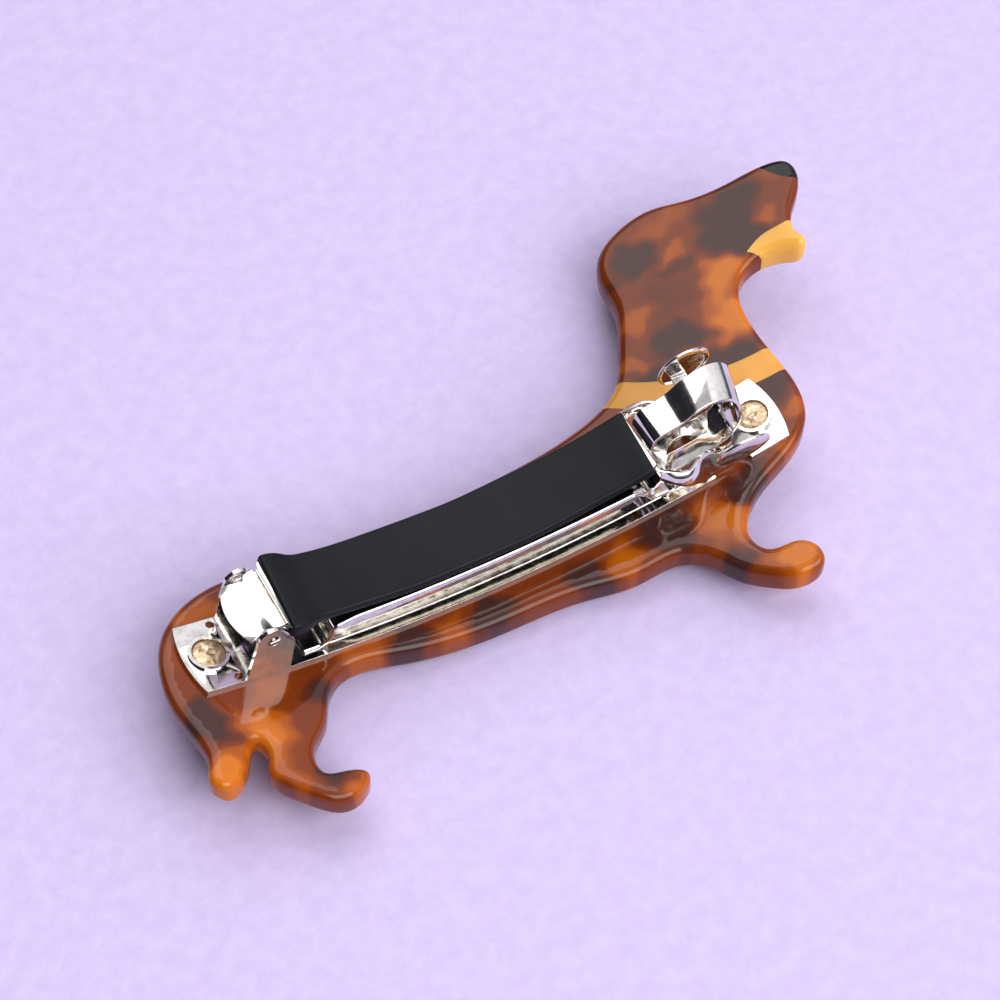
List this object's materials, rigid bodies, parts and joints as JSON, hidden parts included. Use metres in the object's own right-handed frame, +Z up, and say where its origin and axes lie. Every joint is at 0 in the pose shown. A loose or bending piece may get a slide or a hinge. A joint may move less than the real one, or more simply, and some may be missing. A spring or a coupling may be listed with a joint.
{
  "type": "hair barrette",
  "caption": "Dog-shaped acetate hair barrette with a riveted spring clip on its back, lying face down.",
  "frame": {"origin": "under the middle of the box, on the surface that the barrette lies on", "axes": "+X along the clip from its hinge to its clasp, +Y towards the dog's back, +Z up, the side that the clip is on"},
  "size_m": [0.1036, 0.0587, 0.0202],
  "materials": {
    "tortoise_acetate": "polished tortoiseshell cellulose acetate, honey to dark brown blotches",
    "honey_acetate": "polished honey cellulose acetate",
    "black_acetate": "polished black cellulose acetate",
    "nickel": "bright nickel plate on spring steel",
    "rivet_brass": "peened pale brass",
    "black_silicone": "smooth satin silicone"
  },
  "bodies": {
    "plate_and_base": {"dog_body": "tortoise_acetate", "dog_head": "tortoise_acetate", "collar_band": "honey_acetate", "tongue_inlay": "honey_acetate", "nose_tip": "black_acetate", "base_bar": "nickel", "hinge_rivet": "rivet_brass", "clasp_rivet": "rivet_brass", "catch_floor": "nickel"},
    "arm": {"top_arm": "nickel", "grip_sleeve": "black_silicone"},
    "spring": {"tension_bar": "nickel"},
    "belly_tab": {"thumb_tab_belly": "nickel"},
    "back_tab": {"thumb_tab_back": "nickel"}
  },
  "joints": [
    {"name": "arm_hinge", "type": "hinge", "parent": "plate_and_base", "child": "arm", "pos_m": [-0.0382, -0.0057, 0.01385], "axis": [0, -1, 0], "range_deg": [0, 65]},
    {"name": "tension_flex", "type": "hinge", "parent": "plate_and_base", "child": "spring", "pos_m": [-0.0333, -0.0057, 0.00702], "axis": [0, 1, 0], "range_deg": [0, 1.4], "stiffness_Nm_per_rad": 0.05, "springref_deg": -5.73},
    {"name": "belly_tab_squeeze", "type": "hinge", "parent": "plate_and_base", "child": "belly_tab", "pos_m": [0.0205, -0.0102, 0.00745], "axis": [0, 0, 1], "range_deg": [0, 8], "stiffness_Nm_per_rad": 0.002, "springref_deg": -5.73},
    {"name": "back_tab_squeeze", "type": "hinge", "parent": "plate_and_base", "child": "back_tab", "pos_m": [0.0205, -0.0012, 0.00745], "axis": [0, 0, -1], "range_deg": [0, 8], "stiffness_Nm_per_rad": 0.002, "springref_deg": -5.73}
  ]
}
